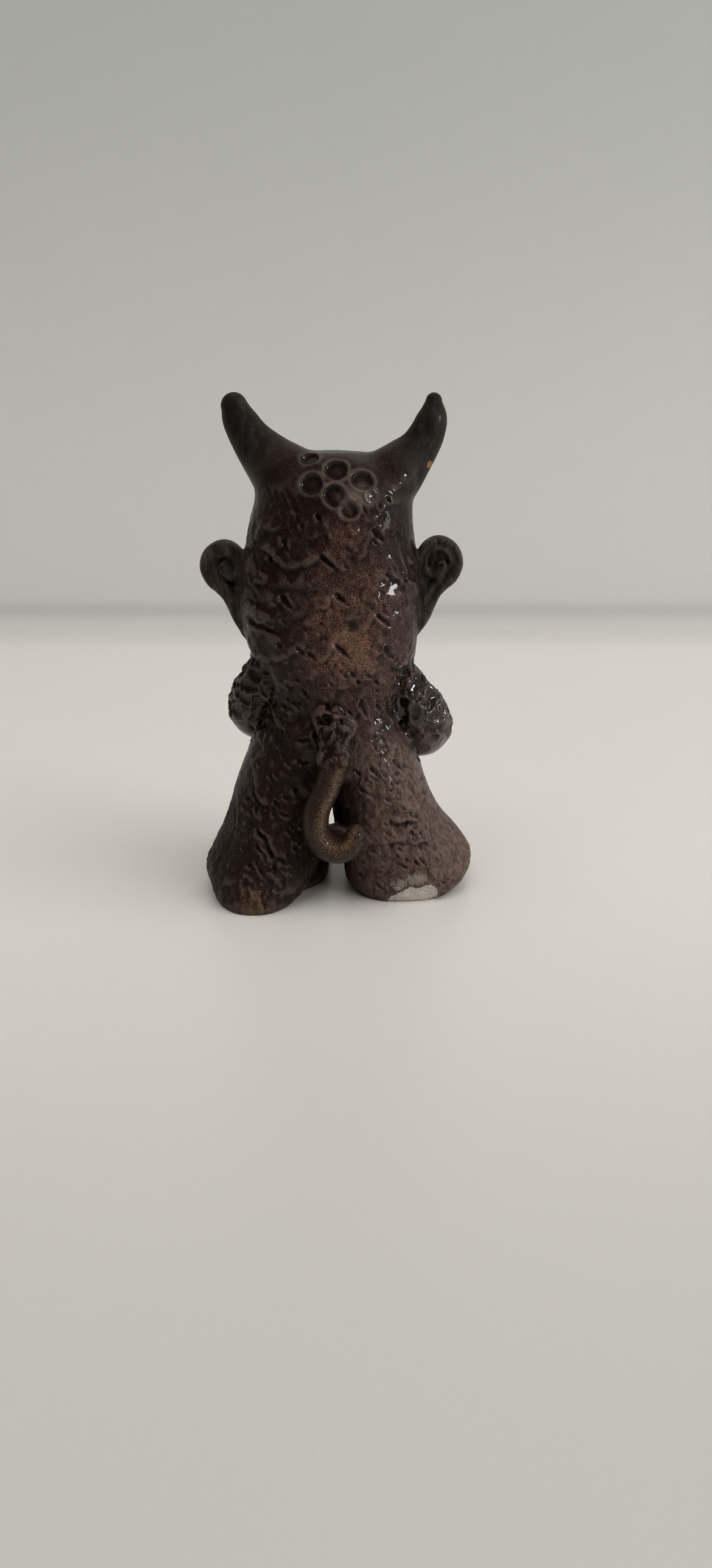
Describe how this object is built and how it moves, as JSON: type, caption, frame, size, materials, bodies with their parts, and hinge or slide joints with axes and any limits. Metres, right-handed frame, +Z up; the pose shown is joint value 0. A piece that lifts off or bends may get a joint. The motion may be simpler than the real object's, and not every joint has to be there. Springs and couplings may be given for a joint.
{
  "type": "ceramic devil figurine",
  "caption": "Hand-modelled glazed clay devil standing on flared legs with cloven hooves, with curved horns, coiled ears, folded arms and a hooked tail.",
  "frame": {"origin": "middle of the figure's footprint box, on the surface that the feet stand on", "axes": "+Z up through the crown, -Y the way the face looks, so +X is on the left when the figure is seen from behind"},
  "size_m": [0.0674, 0.0529, 0.1201],
  "materials": {
    "glazed_clay": "clear gloss glaze over dark brown clay slip, thinner and lighter on ridges"
  },
  "bodies": {
    "root": {"devil_figurine": "glazed_clay"}
  },
  "joints": []
}
